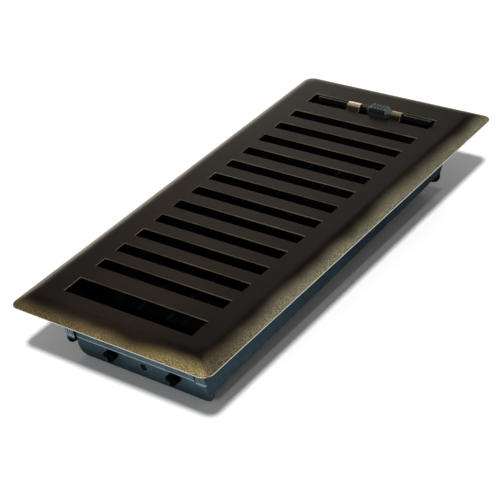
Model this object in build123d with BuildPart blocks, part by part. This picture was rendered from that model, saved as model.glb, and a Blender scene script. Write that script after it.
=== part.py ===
"""Floor register with a stamped face, a folded damper box and two long damper blades on a thumb roller."""
import os
from math import atan, cos, degrees, radians, sin, tan

from build123d import *

# Frame: X across the register, Y along it with the roller at the +Y end, Z up.
# Z = 0 is the floor that the face's edge rests on, and X = Y = 0 is the middle of the face.

# Face plate
face_width = 139.7
face_length = 292.1
face_height = 6.0
face_sheet = 0.9
face_corner_radius = 6.0
edge_land = 0.6
bevel_angle = 30.0
bevel_soft_radius = 14.0
bevel_bands = 3

# Slots in the face
slot_side_margin = 4.8
slot_width = 8.3
slot_pitch = 17.09
near_slot_width = 14.2
near_slot_margin = 8.7
first_slot_step = 23.45
control_slot_width = 11.8
control_slot_margin = 6.9

# Straps over the shaft, part of the face
strap_left_length = 9.2
strap_left_x = -11.2
strap_right_length = 7.2
strap_right_x = 20.2
strap_foot_radius = 1.8
strap_root_radius = 0.4

# Damper box
box_sheet = 0.7
box_side_margin = 19.85
box_near_margin = 18.45
box_far_margin = 24.65
wall_near_bottom_z = -33.1
wall_far_bottom_z = -27.0
wall_near_corner_radius = 6.0
wall_far_corner_radius = 2.0
wall_slant_height = 9.4
wall_slant_length = 8.5
weld_flange = 5.5
tab_width = 6.5
tab_near_bottom_z = -26.0
tab_far_bottom_z = -17.5
bend_radius = 0.5
crimp_count = 3
crimp_edge_gap = 3.7
crimp_pitch = 1.7
crimp_radius = 0.5
crimp_length = 15.0
crimp_top_gap = 6.0
wall_clearance = 0.1

# End plates
end_plate_side_gap = 0.3
end_plate_bottom_z = -41.5
near_plate_step = 5.5
near_plate_step_z = -24.6
far_plate_step = 6.3
far_plate_step_z = -18.0
end_plate_corner_radius = 6.5
far_plate_shoulder_z = -35.6
end_hole_radius = 2.2
end_hole_z = -34.5
relief_width = 2.4
relief_height = 3.6
relief_inset = 5.7

# Blades and their pivots
pivot_x = 22.5
pivot_z = -33.0
pivot_radius = 2.6
pivot_clearance = 0.06
blade_sheet = 0.6
blade_middle_gap = 0.3
blade_side_gap = 1.6
blade_rise = 4.0
lap_width = 1.8
lap_gap = 0.3
blade_edge_height = 3.2
bead_radius = 1.6
bead_offset = 11.0
blade_end_gap = 1.1
cap_width = 14.0
cap_height = 7.4
cap_rise = 1.7
cap_length = 9.0
cap_edge_chamfer = 0.9
cap_side_gap = 0.4
snap_lobe_radius = 1.6
snap_lobe_offset = 2.7
snap_head_thickness = 2.8
snap_gap = 0.3
snap_slit = 0.9

# Control shaft and thumb roller
shaft_radius = 2.4
shaft_drop = 0.5
shaft_gap = 0.3
shaft_left_margin = 6.0
shaft_right_margin = 0.6
roller_sides = 6
roller_apothem = 4.8
roller_flat_length = 11.3
roller_end_length = 3.3
roller_end_apothem = 2.6
roller_strap_gap = 0.3
knurl_depth = 0.55
knurl_half_width = 0.8
knurl_rows = 5

# Helical cam on the shaft, and its travel
roller_turn = 36.0
blade_turn = 84.0
crank_radius = 8.0
cam_pin_angle = 35.5
cam_radius = 14.5
cam_shell = 2.6
cam_margin_angle = 10.5
cam_web = 1.8
cam_width = 21.0
cam_pin_radius = 1.3
cam_pin_gap = 0.2
cam_pin_root = 2.8
cam_groove_steps = 5

# Control bracket, link and cranks
bulkhead_step = 17.4
pan_half_width = 30.0
bracket_flange = 10.0
crank_thickness = 3.0
crank_hub_radius = 4.2
crank_arm_width = 5.0
crank_pin_radius = 1.5
part_gap = 0.4
link_gap = 0.5
link_thickness = 2.0
link_height = 9.0
link_end_margin = 4.5
link_slot_gap = 0.28
link_play = 0.5
washer_radius = 3.1
washer_thickness = 0.6
washer_gap = 0.3
pin_stand_out = 0.7
rivet_x = 9.5
rivet_radius = 1.75
rivet_head_radius = 3.2
rivet_head = 1.1
rivet_gap = 0.12
boss_width = 6.0
boss_depth = 3.4
flat_of_shaft = 1.9
flat_gap = 0.05

# Sizes worked out from the values above
face_under_z = face_height - face_sheet
half_box = face_width / 2 - box_side_margin
box_near_y = box_near_margin - face_length / 2
box_far_y = face_length / 2 - box_far_margin
wall_inner_x = half_box - box_sheet
end_plate_half_width = wall_inner_x - end_plate_side_gap
relief_x = end_plate_half_width - relief_inset
slot_length = 2 * (half_box - slot_side_margin)
near_slot_y = box_near_y + near_slot_margin
first_slot_y = near_slot_y + first_slot_step
control_slot_y = box_far_y - control_slot_margin
bulkhead_y = control_slot_y - bulkhead_step
slot_count = int((bulkhead_y - slot_width / 2 - first_slot_y) / slot_pitch) + 1
shaft_z = face_height - shaft_drop
shaft_left_x = shaft_left_margin - slot_length / 2
shaft_right_x = slot_length / 2 - shaft_right_margin
cam_left_x = shaft_left_x
blade_inner_reach = pivot_x - blade_middle_gap
blade_outer_reach = wall_inner_x - blade_side_gap - pivot_x
control_slot_near = control_slot_y - control_slot_width / 2
control_slot_far = control_slot_y + control_slot_width / 2
strap_inner = shaft_radius + shaft_gap
strap_outer = strap_inner + face_sheet
near_plate_outer_y = box_near_y + box_sheet
far_plate_outer_y = box_far_y - box_sheet
near_low_outer_y = near_plate_outer_y + near_plate_step
near_low_inner_y = near_low_outer_y + box_sheet
far_low_inner_y = far_plate_outer_y - far_plate_step - box_sheet
bulkhead_back_y = bulkhead_y + box_sheet
pan_top_z = end_plate_bottom_z + box_sheet
near_cap_y = near_low_inner_y + cap_side_gap
far_cap_y = bulkhead_y - cap_side_gap
blade_near_y = near_cap_y + blade_end_gap
blade_far_y = far_cap_y - blade_end_gap
crank_y = bulkhead_back_y + part_gap
link_y = crank_y + crank_thickness + link_gap
link_back_y = link_y + link_thickness
crank_pin_end_y = link_back_y + washer_gap + washer_thickness + pin_stand_out
blade_low_z = pivot_z + blade_rise - blade_sheet / 2
crank_angle = blade_turn / 2
link_half_travel = crank_radius * sin(radians(crank_angle))
crank_pin_low_z = pivot_z + crank_radius * cos(radians(crank_angle))
crank_pin_high_z = pivot_z + crank_radius
link_middle_z = (crank_pin_low_z + crank_pin_high_z) / 2
cam_middle_x = cam_left_x + cam_width / 2
cam_outer = cam_radius + cam_shell / 2
cam_inner = cam_radius - cam_shell / 2
straps = ((strap_left_x, strap_left_length), (strap_right_x, strap_right_length))
roller_right_x = strap_right_x - strap_right_length / 2 - roller_strap_gap
roller_length = roller_flat_length + 2 * roller_end_length
roller_x = roller_right_x - roller_length / 2

os.makedirs("parts", exist_ok=True)


def save(piece, label):
    piece.label = label
    export_step(piece, f"parts/{label}.step")


# Face plate
def dish(bottom_z, start_z, top_z, inset, soft_radius):
    """Solid whose outer skin is one side of the stamped sheet."""
    run = (top_z - start_z) / tan(radians(bevel_angle))
    width = face_width - 2 * inset
    length = face_length - 2 * inset
    with BuildPart() as form:
        if start_z > bottom_z:
            with BuildSketch(Plane.XY.offset(bottom_z)):
                RectangleRounded(width, length, face_corner_radius)
            extrude(amount=start_z - bottom_z)
        with BuildSketch(Plane.XY.offset(start_z)):
            RectangleRounded(width, length, face_corner_radius)
        for band in range(bevel_bands + 1):
            slope = radians(bevel_angle * (1 - band / bevel_bands))
            step_in = run + soft_radius * (tan(radians(bevel_angle / 2)) - sin(slope))
            with BuildSketch(Plane.XY.offset(top_z - soft_radius * (1 - cos(slope)))):
                RectangleRounded(width - 2 * step_in, length - 2 * step_in, face_corner_radius)
        loft(ruled=True)
    return form.part


under_drop = face_sheet / cos(radians(bevel_angle)) - edge_land
rim_inset = under_drop / tan(radians(bevel_angle))

outside_dish = dish(0, edge_land, face_height, 0, bevel_soft_radius)
inside_dish = dish(0, 0, face_under_z, rim_inset, bevel_soft_radius - face_sheet)

with BuildPart() as face_plate:
    add(outside_dish)
    add(inside_dish, mode=Mode.SUBTRACT)
    with BuildSketch(Plane.XY.offset(face_height)):
        with Locations((0, first_slot_y + slot_pitch * (slot_count - 1) / 2)):
            with GridLocations(slot_length, slot_pitch, 1, slot_count):
                Rectangle(slot_length, slot_width)
        with Locations((0, near_slot_y)):
            Rectangle(slot_length, near_slot_width)
        with Locations((0, control_slot_y)):
            Rectangle(slot_length, control_slot_width)
    extrude(amount=-2 * face_sheet, mode=Mode.SUBTRACT)
    for strap_x, strap_length in straps:
        with BuildSketch(Plane.YZ.offset(strap_x - strap_length / 2)) as strap:
            with Locations((control_slot_y, face_height - face_sheet / 2)):
                Rectangle(control_slot_width, face_sheet)
            with Locations((control_slot_y, shaft_z)):
                Circle(strap_outer)
            with Locations((control_slot_y, face_under_z)):
                Rectangle(
                    control_slot_width,
                    strap_outer * 2,
                    align=(Align.CENTER, Align.MAX),
                    mode=Mode.SUBTRACT,
                )
            feet = [
                v for v in strap.vertices()
                if abs(v.Z - face_height) < face_sheet / 4
                and abs(abs(v.Y - control_slot_y) - strap_outer) < face_sheet / 4
            ]
            fillet(feet, strap_foot_radius)
            with Locations((control_slot_y, shaft_z)):
                Circle(strap_inner, mode=Mode.SUBTRACT)
        extrude(amount=strap_length)
save(face_plate.part, "face_plate")


# Long sides of the damper box
with BuildPart() as side_wall_right:
    with BuildSketch(Plane.YZ.offset(wall_inner_x)):
        with BuildLine():
            Polyline(
                (box_near_y, face_under_z),
                (box_near_y, wall_near_bottom_z),
                (box_far_y - wall_slant_length, wall_far_bottom_z),
                (box_far_y, wall_far_bottom_z + wall_slant_height),
                (box_far_y, face_under_z),
                close=True,
            )
        make_face()
    extrude(amount=box_sheet)
    for low_z, corner_radius in (
        (wall_near_bottom_z, wall_near_corner_radius),
        (wall_far_bottom_z, wall_far_corner_radius),
    ):
        low_corner = side_wall_right.edges().filter_by(Axis.X).filter_by_position(
            Axis.Z, low_z - box_sheet / 2, low_z + box_sheet / 2
        )
        fillet(low_corner, corner_radius)
    for tab_y, tab_bottom in ((box_near_y, tab_near_bottom_z), (box_far_y - box_sheet, tab_far_bottom_z)):
        with BuildSketch(Plane.XZ.offset(-tab_y)):
            with Locations((half_box, tab_bottom)):
                Rectangle(
                    tab_width,
                    face_under_z - box_sheet - tab_bottom,
                    align=(Align.MAX, Align.MIN),
                )
        extrude(amount=-box_sheet)
    with BuildSketch(Plane.XY.offset(face_under_z - box_sheet)):
        with Locations((wall_inner_x, (box_near_y + box_far_y) / 2)):
            Rectangle(
                weld_flange + box_sheet,
                box_far_y - box_near_y,
                align=(Align.MIN, Align.CENTER),
            )
    extrude(amount=box_sheet)
    corner_bends = (
        side_wall_right.edges()
        .filter_by(Axis.Z)
        .filter_by_position(Axis.X, half_box - box_sheet / 4, half_box + box_sheet / 4)
    )
    fillet(corner_bends, bend_radius)
    flange_bend = (
        side_wall_right.edges()
        .filter_by(Axis.Y)
        .filter_by_position(Axis.X, wall_inner_x - box_sheet / 4, wall_inner_x + box_sheet / 4)
        .sort_by(Axis.Z)[-1]
    )
    fillet(flange_bend, bend_radius)
    crimp_x = half_box - crimp_edge_gap
    crimp_z = face_under_z - crimp_top_gap
    for crimp in range(crimp_count):
        shift = (crimp - (crimp_count - 1) / 2) * crimp_pitch
        with BuildSketch(Plane.XY.offset(crimp_z)):
            with Locations((crimp_x + shift, box_near_y)):
                RegularPolygon(crimp_radius, 4)
        extrude(amount=-crimp_length)
save(side_wall_right.part, "side_wall_right")

with BuildPart() as side_wall_left:
    mirror(side_wall_right.part, about=Plane.YZ)
save(side_wall_left.part, "side_wall_left")


# Ends of the damper box, each stepped inwards below
def end_plate(outer_y, inward, step, step_z, shoulder_z, pivots):
    """Folded end whose upper strip has its outer face at outer_y; inward is +1 for the near end.
    Below step_z it stands in by step, with its lower corners down to shoulder_z."""
    half = wall_inner_x - wall_clearance
    strip = sorted((outer_y, outer_y + inward * box_sheet))
    low = sorted((outer_y + inward * step, outer_y + inward * (step + box_sheet)))
    ledge = sorted((outer_y, outer_y + inward * (step + box_sheet)))
    flange = sorted((outer_y - inward * weld_flange, outer_y + inward * box_sheet))
    with BuildPart() as plate:
        with BuildSketch(Plane.YZ.offset(-half)) as fold:
            for span, low_z, high_z in (
                (strip, step_z, face_under_z),
                (ledge, step_z, step_z + box_sheet),
                (low, end_plate_bottom_z, step_z + box_sheet),
                (flange, face_under_z - box_sheet, face_under_z),
            ):
                with Locations((span[0], low_z)):
                    Rectangle(span[1] - span[0], high_z - low_z, align=(Align.MIN, Align.MIN))
            bends = [
                v for v in fold.vertices()
                if v.Z < face_under_z - box_sheet / 2 and v.Z > end_plate_bottom_z + box_sheet
            ]
            outer_bends = [v for v in bends if abs(v.Y - outer_y) < box_sheet / 4 and v.Z < 0]
            outer_bends += [
                v for v in bends
                if abs(v.Y - outer_y - inward * (step + box_sheet)) < box_sheet / 4
            ]
            fillet(outer_bends, bend_radius)
        extrude(amount=2 * half)
        with BuildSketch(Plane.XZ.offset(-(low[0] - box_sheet))):
            with Locations((0, step_z)):
                Rectangle(
                    2 * half + box_sheet,
                    2 * (step_z - end_plate_bottom_z),
                    align=(Align.CENTER, Align.MAX),
                )
            with Locations((0, shoulder_z)):
                RectangleRounded(
                    2 * end_plate_half_width,
                    2 * (step_z - end_plate_bottom_z),
                    end_plate_corner_radius,
                    align=(Align.CENTER, Align.MIN),
                    mode=Mode.SUBTRACT,
                )
            with Locations((0, end_plate_bottom_z)):
                Rectangle(
                    2 * pan_half_width,
                    step_z - end_plate_bottom_z,
                    align=(Align.CENTER, Align.MIN),
                    mode=Mode.SUBTRACT,
                )
        extrude(amount=-3 * box_sheet, mode=Mode.SUBTRACT)
        with BuildSketch(Plane.XZ.offset(-(ledge[0] - box_sheet))):
            with Locations((-relief_x, step_z), (relief_x, step_z)):
                Rectangle(relief_width, relief_height, align=(Align.CENTER, Align.MIN))
        extrude(amount=-(step + 3 * box_sheet), mode=Mode.SUBTRACT)
        if pivots:
            with BuildSketch(Plane.XZ.offset(-(low[0] - box_sheet))):
                with Locations((-pivot_x, pivot_z), (pivot_x, pivot_z)):
                    Circle(pivot_radius + pivot_clearance)
                with Locations((0, end_hole_z)):
                    Circle(end_hole_radius)
            extrude(amount=-3 * box_sheet, mode=Mode.SUBTRACT)
    return plate.part


near_plate = end_plate(near_plate_outer_y, 1, near_plate_step, near_plate_step_z, end_plate_bottom_z, True)
far_plate = end_plate(far_plate_outer_y, -1, far_plate_step, far_plate_step_z, far_plate_shoulder_z, False)
save(near_plate, "end_plate_near")
save(far_plate, "end_plate_far")


# Folded bracket: bulkhead behind the last air slot, pan below the linkage, fingers below the straps
with BuildPart() as control_bracket:
    with BuildSketch(Plane.XZ.offset(-bulkhead_y)):
        with BuildLine():
            Polyline(
                (-wall_inner_x + wall_clearance, face_under_z),
                (-wall_inner_x + wall_clearance, wall_far_bottom_z),
                (-pan_half_width - bracket_flange / 2, pivot_z - crank_hub_radius),
                (-pan_half_width, end_plate_bottom_z),
                (pan_half_width, end_plate_bottom_z),
                (pan_half_width + bracket_flange / 2, pivot_z - crank_hub_radius),
                (wall_inner_x - wall_clearance, wall_far_bottom_z),
                (wall_inner_x - wall_clearance, face_under_z),
                close=True,
            )
        make_face()
        with Locations((-pivot_x, pivot_z), (pivot_x, pivot_z)):
            Circle(pivot_radius + pivot_clearance, mode=Mode.SUBTRACT)
        with Locations((-rivet_x, link_middle_z), (rivet_x, link_middle_z)):
            Circle(rivet_radius, mode=Mode.SUBTRACT)
    extrude(amount=-box_sheet)
    with BuildSketch(Plane.XY.offset(pan_top_z - box_sheet)):
        with Locations((0, bulkhead_y)):
            Rectangle(
                2 * pan_half_width,
                far_low_inner_y - wall_clearance - bulkhead_y,
                align=(Align.CENTER, Align.MIN),
            )
    extrude(amount=box_sheet)
    with BuildSketch(Plane.XY.offset(shaft_z - strap_inner - box_sheet)):
        for strap_x, strap_length in straps:
            with Locations((strap_x, bulkhead_y)):
                Rectangle(
                    strap_length,
                    control_slot_y + strap_outer - bulkhead_y,
                    align=(Align.CENTER, Align.MIN),
                )
    extrude(amount=box_sheet)
    for side in (-1, 1):
        with BuildSketch(Plane.XY.offset(wall_far_bottom_z + wall_slant_height)):
            with Locations((side * (wall_inner_x - box_sheet / 2), bulkhead_y)):
                Rectangle(box_sheet, bracket_flange, align=(Align.CENTER, Align.MIN))
        extrude(amount=-(wall_far_bottom_z + wall_slant_height) - box_sheet)
save(control_bracket.part, "control_bracket")


# Shoulder rivets that the link slides on
with BuildPart() as guide_rivets:
    with BuildSketch(Plane.XZ.offset(-bulkhead_y)):
        with Locations((-rivet_x, link_middle_z), (rivet_x, link_middle_z)):
            Circle(rivet_radius)
    extrude(amount=-(link_back_y + washer_gap - bulkhead_y))
    with BuildSketch(Plane.XZ.offset(-(link_back_y + washer_gap))):
        with Locations((-rivet_x, link_middle_z), (rivet_x, link_middle_z)):
            Circle(rivet_head_radius)
    extrude(amount=-rivet_head)
save(guide_rivets.part, "guide_rivets")


# Control shaft with its helical cam
def around_shaft(angle, radius, x):
    """Point at an angle from straight down towards the near end, as seen along the shaft."""
    turn = radians(angle)
    return Vector(x, control_slot_y - radius * sin(turn), shaft_z - radius * cos(turn))


def cam_sector(inner, outer, left, right):
    """Part of a tube about the shaft, between the cam's two end angles."""
    first = cam_pin_angle - cam_margin_angle
    last = cam_pin_angle + roller_turn + cam_margin_angle
    middle = (first + last) / 2
    points = [around_shaft(a, r, left) for a, r in (
        (first, inner), (first, outer), (middle, outer), (last, outer), (last, inner), (middle, inner),
    )]
    with BuildPart() as sector:
        with BuildSketch(Plane.YZ.offset(left)):
            with BuildLine():
                flat = [(p.Y, p.Z) for p in points]
                Line(flat[0], flat[1])
                ThreePointArc(flat[1], flat[2], flat[3])
                Line(flat[3], flat[4])
                ThreePointArc(flat[4], flat[5], flat[0])
            make_face()
        extrude(amount=right - left)
    return sector.part


cam_right_x = cam_left_x + cam_width
cam_tube = cam_sector(cam_inner, cam_outer, cam_left_x, cam_right_x)
cam_left_web = cam_sector(shaft_radius / 2, cam_outer, cam_left_x, cam_left_x + cam_web)
cam_right_web = cam_sector(shaft_radius / 2, cam_outer, cam_right_x - cam_web, cam_right_x)

with BuildPart() as control_shaft:
    with BuildSketch(Plane.YZ.offset(shaft_left_x)):
        with Locations((control_slot_y, shaft_z)):
            Circle(shaft_radius)
    extrude(amount=shaft_right_x - shaft_left_x)
    add(cam_tube)
    add(cam_left_web)
    add(cam_right_web)
    for step in range(cam_groove_steps):
        share = (step + 0.5) / cam_groove_steps
        travel = 2 * link_half_travel / cam_groove_steps
        arc = cam_radius * radians(roller_turn) / cam_groove_steps
        angle = cam_pin_angle + roller_turn * share
        groove_x = cam_middle_x + link_half_travel * (2 * share - 1)
        middle = around_shaft(angle, cam_radius, groove_x)
        outward = around_shaft(angle, 1, 0) - around_shaft(angle, 0, 0)
        along = Vector(travel, 0, 0) + outward.cross(Vector(1, 0, 0)) * arc
        groove_plane = Plane(origin=middle, x_dir=along, z_dir=outward)
        with BuildSketch(groove_plane):
            SlotCenterToCenter(along.length, 2 * (cam_pin_radius + cam_pin_gap))
        extrude(amount=cam_shell, both=True, mode=Mode.SUBTRACT)
save(control_shaft.part, "control_shaft")


# Knurled six-sided thumb roller, a flat side up
def roller_outline():
    """Corners of a hexagon with a V notch in the middle of each side, flat side up."""
    corner = roller_apothem / cos(radians(180 / roller_sides))
    outline = []
    for side in range(roller_sides):
        turn = radians(side * 360 / roller_sides)
        middle = turn + radians(180 / roller_sides)
        outline.append((corner * cos(turn), corner * sin(turn)))
        for along, depth in ((-knurl_half_width, 0), (0, knurl_depth), (knurl_half_width, 0)):
            reach = roller_apothem - depth
            outline.append((
                reach * cos(middle) - along * sin(middle),
                reach * sin(middle) + along * cos(middle),
            ))
    return outline


knurl_slope = degrees(atan(knurl_depth / knurl_half_width))
end_slope = degrees(atan((roller_apothem - roller_end_apothem) / roller_end_length))
row_pitch = roller_flat_length / knurl_rows

# Ring whose inside is the V groove that runs round the roller
with BuildPart() as knurl_ring:
    with BuildSketch(Plane.YZ.offset(-knurl_half_width)):
        RegularPolygon(2 * roller_apothem, roller_sides, major_radius=False)
    extrude(amount=2 * knurl_half_width)
    for end in (-1, 1):
        with BuildSketch(Plane.YZ.offset(end * knurl_half_width)):
            RegularPolygon(roller_apothem, roller_sides, major_radius=False)
        extrude(amount=-end * knurl_half_width, taper=knurl_slope, mode=Mode.SUBTRACT)

with BuildPart() as thumb_roller:
    roller_middle = Location((roller_x, control_slot_y, shaft_z))
    with BuildSketch(Plane.YZ.offset(roller_x - roller_flat_length / 2)):
        with Locations((control_slot_y, shaft_z)):
            Polygon(*roller_outline(), align=None)
    extrude(amount=roller_flat_length)
    for row in range(1, knurl_rows):
        groove_x = row * row_pitch - roller_flat_length / 2
        add(knurl_ring.part.moved(roller_middle * Location((groove_x, 0, 0))), mode=Mode.SUBTRACT)
    for end in (-1, 1):
        with BuildSketch(Plane.YZ.offset(roller_x + end * roller_flat_length / 2)):
            with Locations((control_slot_y, shaft_z)):
                RegularPolygon(roller_apothem, roller_sides, major_radius=False)
        extrude(amount=end * roller_end_length, taper=end_slope)
    with BuildSketch(Plane.YZ.offset(roller_x - roller_length / 2)):
        with Locations((control_slot_y, shaft_z)):
            Circle(shaft_radius)
    extrude(amount=roller_length, mode=Mode.SUBTRACT)
save(thumb_roller.part, "thumb_roller")


# Cross link, at rest with the blades closed
link_x = -link_half_travel
cam_pin_x = cam_middle_x - link_half_travel
link_left_x = cam_pin_x - boss_width / 2
link_right_x = link_x + pivot_x + crank_pin_radius + link_end_margin

with BuildPart() as cross_link:
    with BuildSketch(Plane.XZ.offset(-link_y)):
        with Locations(((link_left_x + link_right_x) / 2, link_middle_z)):
            RectangleRounded(link_right_x - link_left_x, link_height, link_height / 3)
        with Locations((cam_pin_x, link_middle_z)):
            Rectangle(boss_width, link_height / 2, align=(Align.CENTER, Align.MIN))
        with Locations((link_x - pivot_x, link_middle_z), (link_x + pivot_x, link_middle_z)):
            RectangleRounded(
                2 * (crank_pin_radius + link_slot_gap),
                crank_pin_high_z - crank_pin_low_z + 2 * (crank_pin_radius + link_play),
                crank_pin_radius,
                mode=Mode.SUBTRACT,
            )
        with Locations((link_x - rivet_x, link_middle_z), (link_x + rivet_x, link_middle_z)):
            SlotCenterToCenter(
                2 * (link_half_travel + link_play),
                2 * (rivet_radius + rivet_gap),
                mode=Mode.SUBTRACT,
            )
    extrude(amount=-link_thickness)
    pin_foot = around_shaft(cam_pin_angle, cam_outer + cam_pin_root, cam_pin_x)
    pin_tip = around_shaft(cam_pin_angle, cam_inner - link_play, cam_pin_x)
    boss_top_z = pin_foot.Z + cam_pin_radius
    with BuildSketch(Plane.XY.offset(link_middle_z + link_height / 2)):
        with Locations((cam_pin_x, link_y)):
            Rectangle(boss_width, boss_depth, align=(Align.CENTER, Align.MIN))
    extrude(amount=boss_top_z - link_middle_z - link_height / 2)
    with BuildSketch(Plane(origin=pin_foot, x_dir=(1, 0, 0), z_dir=pin_tip - pin_foot)):
        Circle(cam_pin_radius)
    extrude(amount=(pin_tip - pin_foot).length)
save(cross_link.part, "cross_link")


# Pieces that each blade carries
def blade(x, outer_side, lapped):
    """Closed blade in its flat place, its outer edge turned up beside the wall; outer_side is that
    side. A lapped blade has a raised strip along its inner edge that covers the edge of the other blade."""
    inner_x = x - outer_side * blade_inner_reach
    outer_x = x + outer_side * blade_outer_reach
    low_x = min(inner_x, outer_x)
    bead_outer = bead_radius + blade_sheet / 2
    bead_inner = bead_radius - blade_sheet / 2
    outer_edge = Align.MAX if outer_side > 0 else Align.MIN
    bead_places = ((x - bead_offset, blade_low_z), (x + bead_offset, blade_low_z))
    with BuildPart() as sheet:
        with BuildSketch(Plane.XZ.offset(-blade_near_y)):
            with Locations(*bead_places):
                Circle(bead_outer)
            with Locations((x, blade_low_z)):
                Rectangle(4 * bead_offset, 2 * bead_outer, align=(Align.CENTER, Align.MAX), mode=Mode.SUBTRACT)
            with Locations((low_x, blade_low_z)):
                Rectangle(blade_inner_reach + blade_outer_reach, blade_sheet, align=(Align.MIN, Align.MIN))
            with Locations((outer_x, blade_low_z)):
                Rectangle(blade_sheet, blade_sheet + blade_edge_height, align=(outer_edge, Align.MIN))
            with Locations(*bead_places):
                Circle(bead_inner, mode=Mode.SUBTRACT)
            if lapped:
                with Locations((inner_x, blade_low_z)):
                    Rectangle(blade_sheet, 2 * blade_sheet + lap_gap, align=(Align.MIN, Align.MIN))
                with Locations((inner_x + blade_sheet, blade_low_z + blade_sheet + lap_gap)):
                    Rectangle(lap_width + blade_sheet, blade_sheet, align=(Align.MAX, Align.MIN))
        extrude(amount=-(blade_far_y - blade_near_y))
    return sheet.part


def cap_body(x, y_low, y_high, sheet_low, sheet_high):
    """Moulded block on a blade's end, slit for the sheet."""
    with BuildPart() as body:
        with BuildSketch(Plane.XZ.offset(-y_low)) as outline:
            with Locations((x, pivot_z + cap_rise)):
                Rectangle(cap_width, cap_height)
            chamfer(outline.vertices(), cap_edge_chamfer)
        extrude(amount=-(y_high - y_low))
        with BuildSketch(Plane.XZ.offset(-sheet_low)):
            with Locations((x, blade_low_z)):
                Rectangle(cap_width, blade_sheet, align=(Align.CENTER, Align.MIN))
        extrude(amount=-(sheet_high - sheet_low), mode=Mode.SUBTRACT)
    return body.part


def near_cap(x):
    """Blade end that snaps into the near end plate, with a slit cross-shaped head outside."""
    head_back_y = near_low_outer_y - snap_gap
    head_front_y = head_back_y - snap_head_thickness
    body = cap_body(x, near_cap_y, near_cap_y + cap_length, blade_near_y, near_cap_y + cap_length)
    with BuildPart() as cap:
        add(body)
        with BuildSketch(Plane.XZ.offset(-head_front_y)):
            with Locations((x, pivot_z)):
                Circle(pivot_radius)
        extrude(amount=-(near_cap_y - head_front_y))
        with BuildSketch(Plane.XZ.offset(-head_front_y)):
            with Locations((x, pivot_z)):
                with PolarLocations(snap_lobe_offset, 4):
                    Circle(snap_lobe_radius)
        extrude(amount=-snap_head_thickness)
        with BuildSketch(Plane.XZ.offset(-head_front_y)):
            with Locations((x, pivot_z)):
                Rectangle(snap_slit, 4 * snap_lobe_offset, align=(Align.CENTER, Align.CENTER))
        extrude(amount=-(near_cap_y - head_front_y), mode=Mode.SUBTRACT)
    return cap.part


def far_cap(x):
    """Blade end that turns in the bulkhead and carries the crank on two flats."""
    body = cap_body(x, far_cap_y - cap_length, far_cap_y, far_cap_y - cap_length, blade_far_y)
    with BuildPart() as cap:
        add(body)
        with BuildSketch(Plane.XZ.offset(-far_cap_y)):
            with Locations((x, pivot_z)):
                Circle(pivot_radius)
        extrude(amount=-(crank_y - part_gap / 2 - far_cap_y))
        with BuildSketch(Plane.XZ.offset(-(crank_y - part_gap / 2))):
            with Locations((x, pivot_z)):
                Circle(pivot_radius)
                Rectangle(2 * flat_of_shaft, 2 * pivot_radius, mode=Mode.INTERSECT)
        extrude(amount=-(crank_thickness + part_gap / 2))
    return cap.part


def crank(x):
    """Crank arm leaning back at its closed angle, with the pin that drives it."""
    pin_x = x - crank_radius * sin(radians(crank_angle))
    pin_z = crank_pin_low_z
    with BuildPart() as arm:
        with BuildSketch(Plane.XZ.offset(-crank_y)):
            with Locations((x, pivot_z)):
                Circle(crank_hub_radius)
            with Locations(((x + pin_x) / 2, (pivot_z + pin_z) / 2)):
                SlotCenterToCenter(crank_radius, crank_arm_width, rotation=90 + crank_angle)
        extrude(amount=-crank_thickness)
        with BuildSketch(Plane.XZ.offset(-crank_y)):
            with Locations((x, pivot_z)):
                Circle(pivot_radius + flat_gap)
                Rectangle(2 * (flat_of_shaft + flat_gap), 2 * (pivot_radius + flat_gap), mode=Mode.INTERSECT)
        extrude(amount=-crank_thickness, mode=Mode.SUBTRACT)
        with BuildSketch(Plane.XZ.offset(-(crank_y + crank_thickness))):
            with Locations((pin_x, pin_z)):
                Circle(crank_pin_radius)
        extrude(amount=-(crank_pin_end_y - crank_y - crank_thickness))
    return arm.part


def washer(x):
    """Push-on washer near the end of a crank pin."""
    with BuildPart() as ring:
        with BuildSketch(Plane.XZ.offset(-(link_back_y + washer_gap))):
            with Locations((x - link_half_travel, crank_pin_low_z)):
                Circle(washer_radius)
                Circle(crank_pin_radius, mode=Mode.SUBTRACT)
        extrude(amount=-washer_thickness)
    return ring.part


for side_name, side in (("left", -1), ("right", 1)):
    save(blade(side * pivot_x, side, side > 0), f"blade_{side_name}")
    save(near_cap(side * pivot_x), f"near_cap_{side_name}")
    save(far_cap(side * pivot_x), f"far_cap_{side_name}")
    save(crank(side * pivot_x), f"crank_{side_name}")
    save(washer(side * pivot_x), f"washer_{side_name}")
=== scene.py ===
import math

import bmesh
import bpy
from mathutils import Matrix, Vector

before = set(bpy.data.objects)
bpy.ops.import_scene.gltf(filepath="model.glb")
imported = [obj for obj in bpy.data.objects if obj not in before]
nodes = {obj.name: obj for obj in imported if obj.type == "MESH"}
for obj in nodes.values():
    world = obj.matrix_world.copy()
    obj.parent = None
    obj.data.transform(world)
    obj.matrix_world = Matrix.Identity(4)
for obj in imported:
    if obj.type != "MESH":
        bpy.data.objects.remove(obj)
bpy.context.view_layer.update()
scene = bpy.context.scene
mm = 0.001

print("stage: helpers")


# Shader helpers
def newMaterial(name):
    material = bpy.data.materials.new(name)
    material.use_nodes = True
    tree = material.node_tree
    shader = next(node for node in tree.nodes if node.type == "BSDF_PRINCIPLED")
    return material, tree, shader


def addNode(tree, kind, **settings):
    node = tree.nodes.new(kind)
    for key, value in settings.items():
        setattr(node, key, value)
    return node


def join(tree, source, target):
    tree.links.new(source, target)


# Link a socket, or type in a number or a colour
def feed(tree, value, target):
    if isinstance(value, (int, float)):
        target.default_value = value
    elif isinstance(value, tuple):
        channels = len(target.default_value)
        target.default_value = (*value, 1.0)[:channels]
    else:
        join(tree, value, target)


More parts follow.
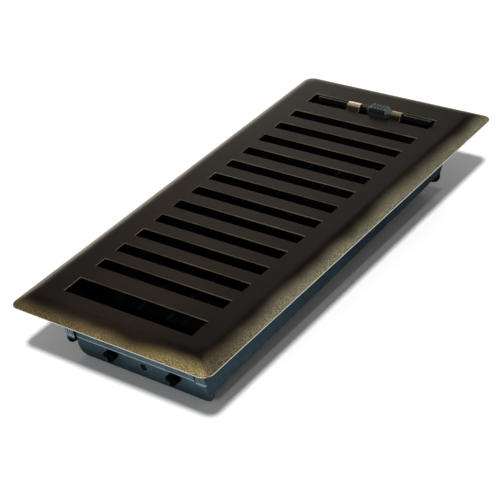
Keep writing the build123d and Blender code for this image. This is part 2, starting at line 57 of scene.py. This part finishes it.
def mathNode(tree, operation, first, second=None, third=None, clamp=False):
    node = addNode(tree, "ShaderNodeMath", operation=operation, use_clamp=clamp)
    for index, value in enumerate((first, second, third)):
        if value is not None:
            feed(tree, value, node.inputs[index])
    return node.outputs[0]


def product(tree, first, *others):
    for other in others:
        first = mathNode(tree, "MULTIPLY", first, other)
    return first


def unsigned(tree, value):
    return mathNode(tree, "ABSOLUTE", value)


def mapRange(tree, value, fromMin, fromMax, toMin=0.0, toMax=1.0, smooth=True):
    kind = "SMOOTHSTEP" if smooth else "LINEAR"
    node = addNode(tree, "ShaderNodeMapRange", interpolation_type=kind)
    node.inputs["From Min"].default_value = fromMin
    node.inputs["From Max"].default_value = fromMax
    node.inputs["To Min"].default_value = toMin
    node.inputs["To Max"].default_value = toMax
    join(tree, value, node.inputs["Value"])
    return node.outputs["Result"]


# A number that runs evenly from low to high as the value goes from 0 to 1
def blendNumber(tree, value, low, high):
    return mapRange(tree, value, 0.0, 1.0, low, high, smooth=False)


# A noise value turned into a swing of the same reach both ways
def swing(tree, value, reach, low=0.3, high=0.7):
    return mapRange(tree, value, low, high, -reach, reach, smooth=False)


# 1 between two limits along one axis, with a soft edge
def between(tree, value, low, high, soft=0.0002):
    rise = mapRange(tree, value, low - soft, low + soft)
    fall = mapRange(tree, value, high + soft, high - soft)
    return product(tree, rise, fall)


def mixColor(tree, factor, first, second):
    node = addNode(tree, "ShaderNodeMix", data_type="RGBA")
    for index, value in ((0, factor), (6, first), (7, second)):  # 6 and 7 are its two colours
        feed(tree, value, node.inputs[index])
    return node.outputs[2]


def scaleColor(tree, color, tone):
    node = addNode(tree, "ShaderNodeVectorMath", operation="SCALE")
    feed(tree, color, node.inputs[0])
    join(tree, tone, node.inputs["Scale"])
    return node.outputs[0]


def objectCoords(tree):
    return addNode(tree, "ShaderNodeTexCoord").outputs["Object"]


def splitVector(tree, vector):
    node = addNode(tree, "ShaderNodeSeparateXYZ")
    join(tree, vector, node.inputs[0])
    return node.outputs


def facetNormal(tree):
    return splitVector(tree, addNode(tree, "ShaderNodeNewGeometry").outputs["True Normal"])


def noise(tree, coords, scale, detail=2.0, roughness=0.5):
    node = addNode(tree, "ShaderNodeTexNoise")
    join(tree, coords, node.inputs["Vector"])
    feed(tree, scale, node.inputs["Scale"])
    node.inputs["Detail"].default_value = detail
    node.inputs["Roughness"].default_value = roughness
    return node.outputs


def bumpFrom(tree, shader, height, distance):
    node = addNode(tree, "ShaderNodeBump")
    node.inputs["Distance"].default_value = distance
    join(tree, height, node.inputs["Height"])
    join(tree, node.outputs[0], shader.inputs["Normal"])


def newGroup(name, inputs, outputs):
    group = bpy.data.node_groups.new(name, "ShaderNodeTree")
    for side, sockets in (("INPUT", inputs), ("OUTPUT", outputs)):
        for socket in sockets:
            group.interface.new_socket(socket, in_out=side, socket_type="NodeSocketFloat")
    start = addNode(group, "NodeGroupInput").outputs
    end = addNode(group, "NodeGroupOutput").inputs
    return group, start, end


def useGroup(tree, group, **values):
    node = addNode(tree, "ShaderNodeGroup", node_tree=group)
    for key, value in values.items():
        node.inputs[key].default_value = value
    return node.outputs


grainForm = {
    "detail": 3.0,
    "roughness": 0.65,
    "wideScale": 38.0,
    "wideReach": 0.22,
    "middle": 0.5,  # what the noise swings about
}


# Node group: fine grain, a speckle in height and tone over wide soft clouds
def buildGrainGroup():
    group, start, end = newGroup("fineGrain", ("Scale", "Spread"), ("Tone", "Height"))
    coords = objectCoords(group)
    fine = noise(group, coords, start["Scale"], grainForm["detail"], grainForm["roughness"])["Fac"]
    wide = noise(group, coords, grainForm["wideScale"])["Fac"]
    speck = mathNode(group, "SUBTRACT", fine, grainForm["middle"])
    cloud = mathNode(group, "SUBTRACT", wide, grainForm["middle"])
    tone = mathNode(group, "MULTIPLY_ADD", speck, start["Spread"], 1.0)
    tone = mathNode(group, "MULTIPLY_ADD", cloud, grainForm["wideReach"], tone)
    join(group, tone, end["Tone"])
    join(group, fine, end["Height"])
    return group


dustForm = {
    "color": (0.20, 0.19, 0.17),
    "scale": 90.0,
    "detail": 5.0,
    "facing": (0.4, 1.0),
    "patches": (0.35, 0.75),
}


# Node group: dust that settles on what faces up, in soft patches
def buildDustGroup():
    group, start, end = newGroup("settledDust", ("Amount",), ("Mask",))
    patches = noise(group, objectCoords(group), dustForm["scale"], dustForm["detail"])["Fac"]
    facing = mapRange(group, facetNormal(group)["Z"], *dustForm["facing"])
    spots = mapRange(group, patches, *dustForm["patches"])
    join(group, product(group, facing, spots, start["Amount"]), end["Mask"])
    return group


spangleForm = {
    "warpScale": 180.0,
    "warpReach": (0.004, 0.004, 0.004),
    "tones": (0.86, 1.14),
    "gloss": (-0.06, 0.06),
}


# Node group: zinc spangle, large flakes of slightly different tone
def buildSpangleGroup():
    group, start, end = newGroup("zincSpangle", ("Scale",), ("Tone", "Gloss"))
    coords = objectCoords(group)
    bent = addNode(group, "ShaderNodeVectorMath", operation="MULTIPLY_ADD")
    join(group, noise(group, coords, spangleForm["warpScale"])["Color"], bent.inputs[0])
    bent.inputs[1].default_value = spangleForm["warpReach"]
    join(group, coords, bent.inputs[2])
    flakes = addNode(group, "ShaderNodeTexVoronoi", feature="F1")
    join(group, bent.outputs[0], flakes.inputs["Vector"])
    join(group, start["Scale"], flakes.inputs["Scale"])
    shade = addNode(group, "ShaderNodeSeparateColor")
    join(group, flakes.outputs["Color"], shade.inputs[0])
    join(group, blendNumber(group, shade.outputs[0], *spangleForm["tones"]), end["Tone"])
    join(group, blendNumber(group, shade.outputs[1], *spangleForm["gloss"]), end["Gloss"])
    return group


grainGroup = buildGrainGroup()
dustGroup = buildDustGroup()
spangleGroup = buildSpangleGroup()

print("stage: materials")

# Most pairs say where a change starts and where it is complete, in metres along one axis
faceLook = {
    "half": (0.06985, 0.14605),  # half the width and half the length
    "metallic": 0.8,
    "specular": 0.2,
    "warmTint": (1.0, 0.93, 0.86),
    # Lacquer on the flat top, with painted shade and painted light in its tones
    "topNear": (0.0215, 0.0132, 0.0090),
    "topFar": (0.0124, 0.0110, 0.0077),
    "topFade": (-0.09, 0.09),
    "cloudScale": 26.0,
    "cloudDetail": 3.0,
    "cloudShift": 0.03,
    "rightFade": (0.010, 0.052),
    "rightTone": 0.34,
    "leftFade": (-0.020, -0.056),
    "leftNearFade": (0.080, -0.120),
    "leftNearTone": 0.50,
    "leftFarFade": (0.010, 0.125),
    "leftFarTone": 1.5,
    "endFade": (0.0140, 0.0095),  # from the end's rim
    "endTone": 1.6,
    # Gold that shows where the lacquer is rubbed off, from the rim inwards; with its dark band it also
    # stands in for the sheen and shade across the rounded rim, painted light
    "gold": (0.34, 0.255, 0.110),
    "goldFade": (-0.05, 0.06),
    "goldTones": (0.62, 1.22),
    "cornerGold": (0.36, 0.285, 0.160),
    "olive": (0.38, 0.345, 0.225),
    "oliveFade": (-0.140, -0.080),
    "oliveTones": (0.50, 0.92),
    "goldDark": (0.040, 0.030, 0.020),
    "endRub": (0.0095, 0.0010),
    "sideRub": (0.0120, 0.0010),
    "sideBlend": (-0.002, 0.002),
    "rubUneven": 0.0016,
    "rubRagged": 0.0012,
    "rubPower": 1.2,
    "rubDark": (0.0, 0.4),  # shares of the wear
    "rubGold": (0.15, 1.0),
    # Straps: painted highlight on their crowns, painted shade lower down
    "strapHighlight": (0.86, 0.73, 0.48),
    "strapShade": (0.060, 0.040, 0.024),
    "strapFoot": (0.0062, 0.0066),
    "strapCrown": (0.0075, 0.0092),
    "strapFade": (0.0, 0.010),
    "rightStrapTone": 0.42,
    "strapSpans": ((-0.0158, -0.0066), (0.0166, 0.0238)),
    "strapEnds": (0.1098, 0.1192),
    "strapSkin": (0.7, 0.5),  # sideways part of the normal
    # Cut edges, rim and underside: painted shade in the slots, painted highlights along the cut edges and
    # the rim
    "upright": (0.60, 0.45),  # upward part of the normal
    "slotSide": (0.050, 0.049),
    "slotShade": (0.010, 0.008, 0.006),
    "cutEdgeHighlight": (0.84, 0.68, 0.44),
    "cutHeight": (0.0052, 0.0055),
    "cutClouds": (0.35, 0.62),
    "cutFaintest": 0.45,
    "rimHighlight": (0.62, 0.62, 0.57),
    "rimWidth": (0.0006, 0.0003),  # from the rim inwards
    "under": (0.05, 0.05, 0.05),
    "underFacing": (-0.3, -0.5),
    # Grain and gloss
    "grainScale": 1700.0,
    "grainSpread": 2.8,
    "bevelGrain": 2.7,
    "strapGrain": 0.3,
    "darkestGrain": 0.45,
    "roughTop": 0.46,
    "roughBevel": 0.42,
    "roughSwing": 0.06,
    "grainTones": (0.7, 1.3),
    "strapGloss": 0.17,
    "bumpDistance": 0.00007,
}


# Painted shade and painted light on the lacquer: darkest along the right and at the near left, paler at the
# far left and near the ends
def lacquerWithPaintedShade(tree, place, cloud, fromEnd):
    look = faceLook
    farther = mathNode(tree, "ADD", place["Y"], swing(tree, cloud, look["cloudShift"]))
    color = mixColor(tree, mapRange(tree, farther, *look["topFade"]), look["topNear"], look["topFar"])
    right = mapRange(tree, place["X"], *look["rightFade"], 1.0, look["rightTone"])
    left = mapRange(tree, place["X"], *look["leftFade"])
    leftNear = product(tree, left, mapRange(tree, place["Y"], *look["leftNearFade"]))
    leftNear = mathNode(tree, "MULTIPLY_ADD", leftNear, look["leftNearTone"] - 1.0, 1.0)
    leftFar = product(tree, left, mapRange(tree, place["Y"], *look["leftFarFade"]))
    leftFar = mathNode(tree, "MULTIPLY_ADD", leftFar, look["leftFarTone"] - 1.0, 1.0)
    color = scaleColor(tree, color, product(tree, right, leftNear, leftFar))
    return scaleColor(tree, color, mapRange(tree, fromEnd, *look["endFade"], 1.0, look["endTone"]))


# How far the lacquer is rubbed through, wider along the long sides than at the ends; this real wear also
# places the painted sheen and shade of the rounded rim
def rubAndSheenMask(tree, inward, sideways, cloud, grainHeight):
    look = faceLook
    uneven = swing(tree, cloud, look["rubUneven"])
    ragged = swing(tree, grainHeight, look["rubRagged"])
    reach = mathNode(tree, "ADD", inward, mathNode(tree, "ADD", uneven, ragged))
    endRub = mapRange(tree, reach, *look["endRub"], smooth=False)
    sideRub = mapRange(tree, reach, *look["sideRub"], smooth=False)
    rubAndSheen = mathNode(tree, "SUBTRACT", sideRub, endRub)
    rubAndSheen = mathNode(tree, "MULTIPLY_ADD", rubAndSheen, sideways, endRub)
    return mathNode(tree, "POWER", rubAndSheen, look["rubPower"])


# Painted sheen on the rubbed rim: long sides are greyer than the ends, and the near end is brightest at its
# right
def rimGoldAndSheen(tree, place, sideways):
    look = faceLook
    rightward = mapRange(tree, place["X"], *look["goldFade"], *look["goldTones"])
    onEnds = scaleColor(tree, look["gold"], rightward)
    along = mapRange(tree, place["Y"], *look["oliveFade"])
    onSides = mixColor(tree, along, look["cornerGold"], look["olive"])
    onSides = scaleColor(tree, onSides, mapRange(tree, place["Y"], *look["oliveFade"], *look["oliveTones"]))
    return mixColor(tree, sideways, onEnds, onSides)


# Painted highlight on the crowns of the straps, painted shade below them, and the right strap painted
# darker
def strapColor(tree, place):
    look = faceLook
    gleam = mapRange(tree, place["Z"], *look["strapCrown"])
    color = mixColor(tree, gleam, look["strapShade"], look["strapHighlight"])
    rightward = mapRange(tree, place["X"], *look["strapFade"], 1.0, look["rightStrapTone"])
    return scaleColor(tree, color, rightward)


# The grain shows more on the rubbed rim and less on the straps
def grainOver(tree, color, grainTone, rubAndSheen, onStrap):
    look = faceLook
    louder = blendNumber(tree, rubAndSheen, 1.0, look["bevelGrain"])
    louder = product(tree, louder, blendNumber(tree, onStrap, 1.0, look["strapGrain"]))
    tone = mathNode(tree, "SUBTRACT", grainTone, 1.0)
    tone = mathNode(tree, "MULTIPLY_ADD", tone, louder, 1.0)
    return scaleColor(tree, color, mathNode(tree, "MAXIMUM", tone, look["darkestGrain"]))


# Cut edges: painted shade in the slots, with a painted highlight along their upper edge and along the rim
def cutOver(tree, color, crown, place, cloud, inward):
    look = faceLook
    facet = facetNormal(tree)
    upright = mapRange(tree, unsigned(tree, facet["Z"]), *look["upright"])
    inSlots = mapRange(tree, unsigned(tree, place["X"]), *look["slotSide"])
    # A strap's bent skin stands upright at its feet, but only its ends are cut edges
    spans = [between(tree, place["X"], *span) for span in look["strapSpans"]]
    skin = mapRange(tree, unsigned(tree, facet["X"]), *look["strapSkin"])
    onSkin = mathNode(tree, "MAXIMUM", *spans)
    onSkin = product(tree, onSkin, between(tree, place["Y"], *look["strapEnds"]), skin)
    color = mixColor(tree, onSkin, color, crown)
    cut = product(tree, upright, mathNode(tree, "SUBTRACT", 1.0, onSkin), inSlots)
    color = mixColor(tree, cut, color, look["slotShade"])
    litEdge = mapRange(tree, cloud, *look["cutClouds"], look["cutFaintest"], 1.0)
    litEdge = product(tree, cut, mapRange(tree, place["Z"], *look["cutHeight"]), litEdge)
    color = mixColor(tree, litEdge, color, look["cutEdgeHighlight"])
    rim = product(tree, upright, mapRange(tree, inward, *look["rimWidth"]))
    color = mixColor(tree, rim, color, look["rimHighlight"])
    below = mapRange(tree, facet["Z"], *look["underFacing"])
    return mixColor(tree, below, color, look["under"])


def faceMaterial():
    look = faceLook
    material, tree, shader = newMaterial("faceBronze")
    coords = objectCoords(tree)
    place = splitVector(tree, coords)
    fromSide = mathNode(tree, "SUBTRACT", look["half"][0], unsigned(tree, place["X"]))
    fromEnd = mathNode(tree, "SUBTRACT", look["half"][1], unsigned(tree, place["Y"]))
    inward = mathNode(tree, "MINIMUM", fromSide, fromEnd)
    sideways = mapRange(tree, mathNode(tree, "SUBTRACT", fromEnd, fromSide), *look["sideBlend"])
    grain = useGroup(tree, grainGroup, Scale=look["grainScale"], Spread=look["grainSpread"])
    cloud = noise(tree, coords, look["cloudScale"], look["cloudDetail"])["Fac"]
    # Painted shade and light across the lacquered top
    color = lacquerWithPaintedShade(tree, place, cloud, fromEnd)
    # Rubbed wear at the rim, which also carries painted sheen and shade
    rubAndSheen = rubAndSheenMask(tree, inward, sideways, cloud, grain["Height"])
    color = mixColor(tree, mapRange(tree, rubAndSheen, *look["rubDark"]), color, look["goldDark"])
    color = mixColor(tree, mapRange(tree, rubAndSheen, *look["rubGold"]), color, rimGoldAndSheen(tree, place, sideways))
    # Painted highlight and shade on the straps
    crown = strapColor(tree, place)
    onStrap = mapRange(tree, place["Z"], *look["strapFoot"])
    color = mixColor(tree, onStrap, color, crown)
    color = grainOver(tree, color, grain["Tone"], rubAndSheen, onStrap)
    # Painted shade in the slots and painted highlights on the cut edges and rim
    color = cutOver(tree, color, crown, place, cloud, inward)
    join(tree, color, shader.inputs["Base Color"])
    rough = mapRange(tree, rubAndSheen, 0.0, 1.0, look["roughTop"], look["roughBevel"])
    grainGloss = swing(tree, grain["Tone"], look["roughSwing"], *look["grainTones"])
    rough = mathNode(tree, "ADD", rough, grainGloss)
    rough = mathNode(tree, "MULTIPLY_ADD", onStrap, -look["strapGloss"], rough)
    join(tree, rough, shader.inputs["Roughness"])
    shader.inputs["Metallic"].default_value = look["metallic"]
    shader.inputs["Specular IOR Level"].default_value = look["specular"]
    shader.inputs["Specular Tint"].default_value = (*look["warmTint"], 1.0)
    bumpFrom(tree, shader, grain["Height"], look["bumpDistance"])
    return material


boxLook = {
    "zinc": (0.066, 0.108, 0.124),
    # Paler towards the bottom: painted light that lifts the shade there
    "low": (0.074, 0.120, 0.142),
    "lowFade": (-0.012, -0.034),
    # Painted shade on the long sides, deepest towards the far end
    "sideShade": (0.0054, 0.0084, 0.0130),
    "sideShadeFacing": (0.4, 0.8),  # sideways part of the normal
    "sideShadeFade": (-0.125, 0.040),
    "sideShadeShares": (0.66, 0.97),
    # Painted shade towards the left
    "leftFade": (-0.045, 0.020),
    "leftTones": (0.75, 1.05),
    "coolTint": (0.55, 0.66, 0.74),
    "roughness": 0.42,
    "metallic": 0.7,
    "specular": 0.06,
    "dust": 0.12,
    "spangleScale": 230.0,
    "grainScale": 900.0,
    "grainSpread": 0.6,
    "bumpDistance": 0.00002,
    # Painted highlights on the fold and the pressed ribs, at the near end
    "foldHighlight": (0.30, 0.38, 0.42),
    "foldHeight": (-0.0248, -0.0240),
    "foldSkin": (-0.1266, -0.1268),
    "ribPitch": 0.0017,
    "ribEdge": (0.2, 0.9),
    "ribFade": (-0.01, 0.01),
    "ribShares": (1.0, 0.12),
    "tabSkin": (-0.1273, -0.1275),
    "tabHeight": (-0.0240, -0.0020),
    "tabSide": (0.0436, 0.0440),
    # Painted shade on the inner faces of the box
    "inside": (0.006, 0.007, 0.009),
    "insideSide": (0.04955, 0.0494),
    "insideEnd": (0.1204, 0.1202),
}
# The blades take the box's values, apart from these; their near-black colour is painted shade
bladeLook = {
    "zinc": (0.0010, 0.0011, 0.0015),
    "low": (0.0009, 0.0010, 0.0013),
    "metallic": 0.0,
    "specular": 0.0,
    "dust": 0.003,
}


# Painted highlights: a bright line on the fold at the foot of the near end's upper strip, and bright
# stripes on the pressed ribs of its tabs
def foldHighlightsOver(tree, color, place):
    look = boxLook
    fold = between(tree, place["Z"], *look["foldHeight"])
    fold = product(tree, fold, mapRange(tree, place["Y"], *look["foldSkin"]))
    color = mixColor(tree, fold, color, look["foldHighlight"])
    wave = mathNode(tree, "SINE", product(tree, place["X"], 2 * math.pi / look["ribPitch"]))
    ribs = mapRange(tree, wave, *look["ribEdge"])
    ribs = product(tree, ribs, mapRange(tree, place["X"], *look["ribFade"], *look["ribShares"]))
    onTab = mapRange(tree, place["Y"], *look["tabSkin"])
    onTab = product(tree, onTab, between(tree, place["Z"], *look["tabHeight"]))
    onTab = product(tree, onTab, mapRange(tree, unsigned(tree, place["X"]), *look["tabSide"]))
    return mixColor(tree, product(tree, ribs, onTab), color, look["foldHighlight"])


def zincMaterial(name, look, dressed):
    material, tree, shader = newMaterial(name)
    place = splitVector(tree, objectCoords(tree))
    spangle = useGroup(tree, spangleGroup, Scale=look["spangleScale"])
    grain = useGroup(tree, grainGroup, Scale=look["grainScale"], Spread=look["grainSpread"])
    # Paler towards the bottom: painted light
    color = mixColor(tree, mapRange(tree, place["Z"], *look["lowFade"]), look["zinc"], look["low"])
    # Painted shade: the long sides are darker than the ends, most of all towards the far end
    longSide = mapRange(tree, unsigned(tree, facetNormal(tree)["X"]), *look["sideShadeFacing"])
    farther = mapRange(tree, place["Y"], *look["sideShadeFade"], *look["sideShadeShares"])
    color = mixColor(tree, product(tree, farther, longSide), color, look["sideShade"])
    # Painted shade: darker towards the left
    color = scaleColor(tree, color, mapRange(tree, place["X"], *look["leftFade"], *look["leftTones"]))
    if dressed:
        color = foldHighlightsOver(tree, color, place)
    color = scaleColor(tree, color, spangle["Tone"])
    color = scaleColor(tree, color, grain["Tone"])
    dust = useGroup(tree, dustGroup, Amount=look["dust"])
    color = mixColor(tree, dust["Mask"], color, dustForm["color"])
    if dressed:
        # Painted shade on the inner faces of the box
        inside = mapRange(tree, unsigned(tree, place["X"]), *look["insideSide"])
        inside = product(tree, inside, mapRange(tree, unsigned(tree, place["Y"]), *look["insideEnd"]))
        color = mixColor(tree, inside, color, look["inside"])
    join(tree, color, shader.inputs["Base Color"])
    rough = mathNode(tree, "ADD", spangle["Gloss"], look["roughness"])
    join(tree, rough, shader.inputs["Roughness"])
    shader.inputs["Metallic"].default_value = look["metallic"]
    shader.inputs["Specular IOR Level"].default_value = look["specular"]
    shader.inputs["Specular Tint"].default_value = (*look["coolTint"], 1.0)
    bumpFrom(tree, shader, grain["Height"], look["bumpDistance"])
    return material


# The small parts share these values, and each adds its own below
smallLook = {
    "metallic": 0.0,
    "specular": 0.5,
    "dust": 0.006,
    "grainScale": 2600.0,
    "grainSpread": 0.4,
    "grainTones": (0.8, 1.2),
    "roughSwing": 0.06,
    "bumpDistance": 0.00002,
}
rollerLook = {
    "color": (0.0012, 0.0022, 0.0034),
    "roughness": 0.42,
    "specular": 0.30,
    # Painted highlight on the roller's top and the upper part of its ends
    "gleam": (0.060, 0.074, 0.076),
    "gleamTop": (0.0097, 0.0102),
    "middle": 0.00735,
    "gleamEnd": (0.0057, 0.0059),  # from the roller's middle
    "gleamEndHeight": (0.0074, 0.0086),
}
shaftLook = {
    "color": (0.0004, 0.0005, 0.0008),
    "roughness": 0.11,
    "specular": 0.12,
    "bumpDistance": 0.000002,
}
capLook = {
    "color": (0.0005, 0.0005, 0.0006),
    "roughness": 0.6,
    "specular": 0.02,
}
linkLook = {
    "color": (0.55, 0.54, 0.50),
    "roughness": 0.5,
}
rivetLook = {
    "color": (0.45, 0.46, 0.47),
    "roughness": 0.32,
    "metallic": 1.0,
    "grainScale": 3000.0,
    "bumpDistance": 0.00001,
}


# Painted highlight: the roller is paler on top and over the upper part of its sloping ends
def rollerGleam(tree):
    look = rollerLook
    place = splitVector(tree, objectCoords(tree))
    onTop = mapRange(tree, place["Z"], *look["gleamTop"])
    along = unsigned(tree, mathNode(tree, "SUBTRACT", place["X"], look["middle"]))
    onEnd = mapRange(tree, along, *look["gleamEnd"])
    onEnd = product(tree, onEnd, mapRange(tree, place["Z"], *look["gleamEndHeight"]))
    return mixColor(tree, mathNode(tree, "MAXIMUM", onTop, onEnd), look["color"], look["gleam"])


def smallMaterial(name, own):
    look = {**smallLook, **own}
    material, tree, shader = newMaterial(name)
    grain = useGroup(tree, grainGroup, Scale=look["grainScale"], Spread=look["grainSpread"])
    # The roller gets a painted highlight
    color = rollerGleam(tree) if "gleam" in look else look["color"]
    color = scaleColor(tree, color, grain["Tone"])
    dust = useGroup(tree, dustGroup, Amount=look["dust"])
    color = mixColor(tree, dust["Mask"], color, dustForm["color"])
    join(tree, color, shader.inputs["Base Color"])
    grainGloss = swing(tree, grain["Tone"], look["roughSwing"], *look["grainTones"])
    join(tree, mathNode(tree, "ADD", grainGloss, look["roughness"]), shader.inputs["Roughness"])
    shader.inputs["Metallic"].default_value = look["metallic"]
    shader.inputs["Specular IOR Level"].default_value = look["specular"]
    bumpFrom(tree, shader, grain["Height"], look["bumpDistance"])
    return material


materials = {
    "face": faceMaterial(),
    "zinc": zincMaterial("galvanised", boxLook, dressed=True),
    "blade": zincMaterial("bladeSheet", {**boxLook, **bladeLook}, dressed=False),
    "roller": smallMaterial("rollerBlack", rollerLook),
    "shaft": smallMaterial("shaftBlack", shaftLook),
    "cap": smallMaterial("capBlack", capLook),
    "link": smallMaterial("linkNylon", linkLook),
    "rivet": smallMaterial("rivetSteel", rivetLook),
}

piecesByLook = {
    "face": ("face_plate",),
    "zinc": ("side_wall_left", "side_wall_right", "end_plate_near", "end_plate_far", "control_bracket"),
    "blade": ("blade_left", "blade_right"),
    "roller": ("thumb_roller",),
    "shaft": ("control_shaft",),
    "cap": ("near_cap_left", "near_cap_right", "far_cap_left", "far_cap_right",
            "crank_left", "crank_right"),
    "link": ("cross_link",),
    "rivet": ("guide_rivets", "washer_left", "washer_right"),
}

# Lengths in mm and angles in degrees
edgeFinish = {
    "weldGap": 0.002,
    "flatAngle": 0.5,
    "foldAngle": 40.0,
    "roundSteps": 2,
    "rounding": 0.10,
    "ownRounding": {"face_plate": 0.14, "near_cap_left": 0.35, "near_cap_right": 0.35},
    "softAngle": 28.0,
}


# Geometry group: soft shading on every edge flatter than a fold
def buildSmoothing():
    group = bpy.data.node_groups.new("softShading", "GeometryNodeTree")
    group.interface.new_socket("Geometry", in_out="INPUT", socket_type="NodeSocketGeometry")
    group.interface.new_socket("Geometry", in_out="OUTPUT", socket_type="NodeSocketGeometry")
    start = addNode(group, "NodeGroupInput")
    end = addNode(group, "NodeGroupOutput")
    soft = addNode(group, "GeometryNodeSetShadeSmooth", domain="FACE")
    crisp = addNode(group, "GeometryNodeSetShadeSmooth", domain="EDGE")
    crisp.inputs["Shade Smooth"].default_value = False
    turn = addNode(group, "GeometryNodeInputMeshEdgeAngle")
    steep = addNode(group, "FunctionNodeCompare", data_type="FLOAT", operation="GREATER_THAN")
    steep.inputs[1].default_value = math.radians(edgeFinish["softAngle"])
    join(group, turn.outputs["Unsigned Angle"], steep.inputs[0])
    join(group, start.outputs[0], soft.inputs["Geometry"])
    join(group, soft.outputs[0], crisp.inputs["Geometry"])
    join(group, steep.outputs[0], crisp.inputs["Selection"])
    join(group, crisp.outputs[0], end.inputs[0])
    return group


smoothingGroup = buildSmoothing()


# The loose facets are joined first, so that flat faces merge and real edges get rounded
def dressNode(name, material):
    piece = nodes[name]
    piece.data.materials.clear()
    piece.data.materials.append(material)
    weld = piece.modifiers.new("joinedFacets", "WELD")
    weld.merge_threshold = edgeFinish["weldGap"] * mm
    merge = piece.modifiers.new("flatFaces", "DECIMATE")
    merge.decimate_type = "DISSOLVE"
    merge.angle_limit = math.radians(edgeFinish["flatAngle"])
    rounding = piece.modifiers.new("edgeRounding", "BEVEL")
    rounding.width = edgeFinish["ownRounding"].get(name, edgeFinish["rounding"]) * mm
    rounding.segments = edgeFinish["roundSteps"]
    rounding.limit_method = "ANGLE"
    rounding.angle_limit = math.radians(edgeFinish["foldAngle"])
    shading = piece.modifiers.new("softShading", "NODES")
    shading.node_group = smoothingGroup
    even = piece.modifiers.new("evenNormals", "WEIGHTED_NORMAL")
    even.keep_sharp = True


for lookName, pieceNames in piecesByLook.items():
    for pieceName in pieceNames:
        dressNode(pieceName, materials[lookName])

print("stage: floor and light")

stageLook = {
    "floorZ": -0.0416,
    "floorHalf": 40.0,
    "floorColor": 0.86,
    "floorSeen": 1.06,
    "floorRoughness": 0.9,
    "floorGlow": 0.065,
    "boxFootX": (0.047, 0.049),
    "boxFootY": (0.116, 0.119),
    "whiteFade": (0.7, 2.0),
    "worldColor": (1.0, 1.0, 1.0),
    "worldStrength": 0.22,
    "keyPower": 262.0,
    "keySize": 0.55,
    "keyPlace": (1.76, -1.86, 4.9),
    "backPower": 3.0,
    "backSize": 0.9,
    "backPlace": (-1.2, 1.5, 0.8),
}


# The eye and reflections see the floor a little paler, and white where the light thins out
def floorMaterial():
    look = stageLook
    material, tree, shader = newMaterial("paleFloor")
    rays = addNode(tree, "ShaderNodeLightPath").outputs
    seen = mathNode(tree, "ADD", rays["Is Camera Ray"], rays["Is Glossy Ray"])
    seen = mathNode(tree, "ADD", seen, rays["Is Transmission Ray"], clamp=True)
    tint = blendNumber(tree, seen, look["floorColor"], look["floorSeen"])
    pale = addNode(tree, "ShaderNodeCombineColor")
    for channel in pale.inputs:
        join(tree, tint, channel)
    join(tree, pale.outputs[0], shader.inputs["Base Color"])
    coords = objectCoords(tree)
    away = addNode(tree, "ShaderNodeVectorMath", operation="LENGTH")
    join(tree, coords, away.inputs[0])
    glow = mapRange(tree, away.outputs["Value"], *look["whiteFade"], look["floorGlow"], 1.0)
    # Under the box the floor stays dark
    place = splitVector(tree, coords)
    outsideX = mapRange(tree, unsigned(tree, place["X"]), *look["boxFootX"])
    outsideY = mapRange(tree, unsigned(tree, place["Y"]), *look["boxFootY"])
    glow = product(tree, seen, glow, mathNode(tree, "MAXIMUM", outsideX, outsideY))
    join(tree, glow, shader.inputs["Emission Strength"])
    shader.inputs["Roughness"].default_value = look["floorRoughness"]
    shader.inputs["Specular IOR Level"].default_value = 0.0
    return material


def makeFloor():
    mesh = bpy.data.meshes.new("floor")
    work = bmesh.new()
    bmesh.ops.create_grid(work, x_segments=1, y_segments=1, size=stageLook["floorHalf"])
    work.to_mesh(mesh)
    work.free()
    mesh.materials.append(floorMaterial())
    floor = bpy.data.objects.new("floor", mesh)
    scene.collection.objects.link(floor)
    floor.location.z = stageLook["floorZ"]


def makeWorld():
    world = bpy.data.worlds.new("studio")
    scene.world = world
    world.use_nodes = True
    background = world.node_tree.nodes["Background"]
    background.inputs["Color"].default_value = (*stageLook["worldColor"], 1.0)
    background.inputs["Strength"].default_value = stageLook["worldStrength"]


# A round soft lamp that points at the middle of the register
def makeLamp(name, place, size, power):
    lamp = bpy.data.lights.new(name, "AREA")
    lamp.shape = "DISK"
    lamp.size = size
    lamp.energy = power
    holder = bpy.data.objects.new(name, lamp)
    scene.collection.objects.link(holder)
    holder.location = place
    holder.rotation_euler = (-Vector(place)).to_track_quat("-Z", "Y").to_euler()


makeFloor()
makeWorld()
makeLamp("keyLight", stageLook["keyPlace"], stageLook["keySize"], stageLook["keyPower"])
makeLamp("backLight", stageLook["backPlace"], stageLook["backSize"], stageLook["backPower"])

print("stage: camera")

cameraView = {
    "lens": 105.504,
    "sensor": 36.0,
    "clip": (0.01, 50.0),
    "place": (0.473316, -0.559103, 0.449945),
    "right": (0.796953, 0.591105, -0.124342),
    "up": (-0.245040, 0.504526, 0.827894),
    "back": (0.552106, -0.629324, 0.546928),
}


def makeCamera():
    data = bpy.data.cameras.new("photoCamera")
    data.lens = cameraView["lens"]
    data.sensor_width = cameraView["sensor"]
    data.clip_start, data.clip_end = cameraView["clip"]
    camera = bpy.data.objects.new("photoCamera", data)
    scene.collection.objects.link(camera)
    turn = Matrix((cameraView["right"], cameraView["up"], cameraView["back"])).transposed()
    camera.matrix_world = Matrix.Translation(cameraView["place"]) @ turn.to_4x4()
    scene.camera = camera


makeCamera()
scene.view_settings.view_transform = "Standard"

print("stage: finish")
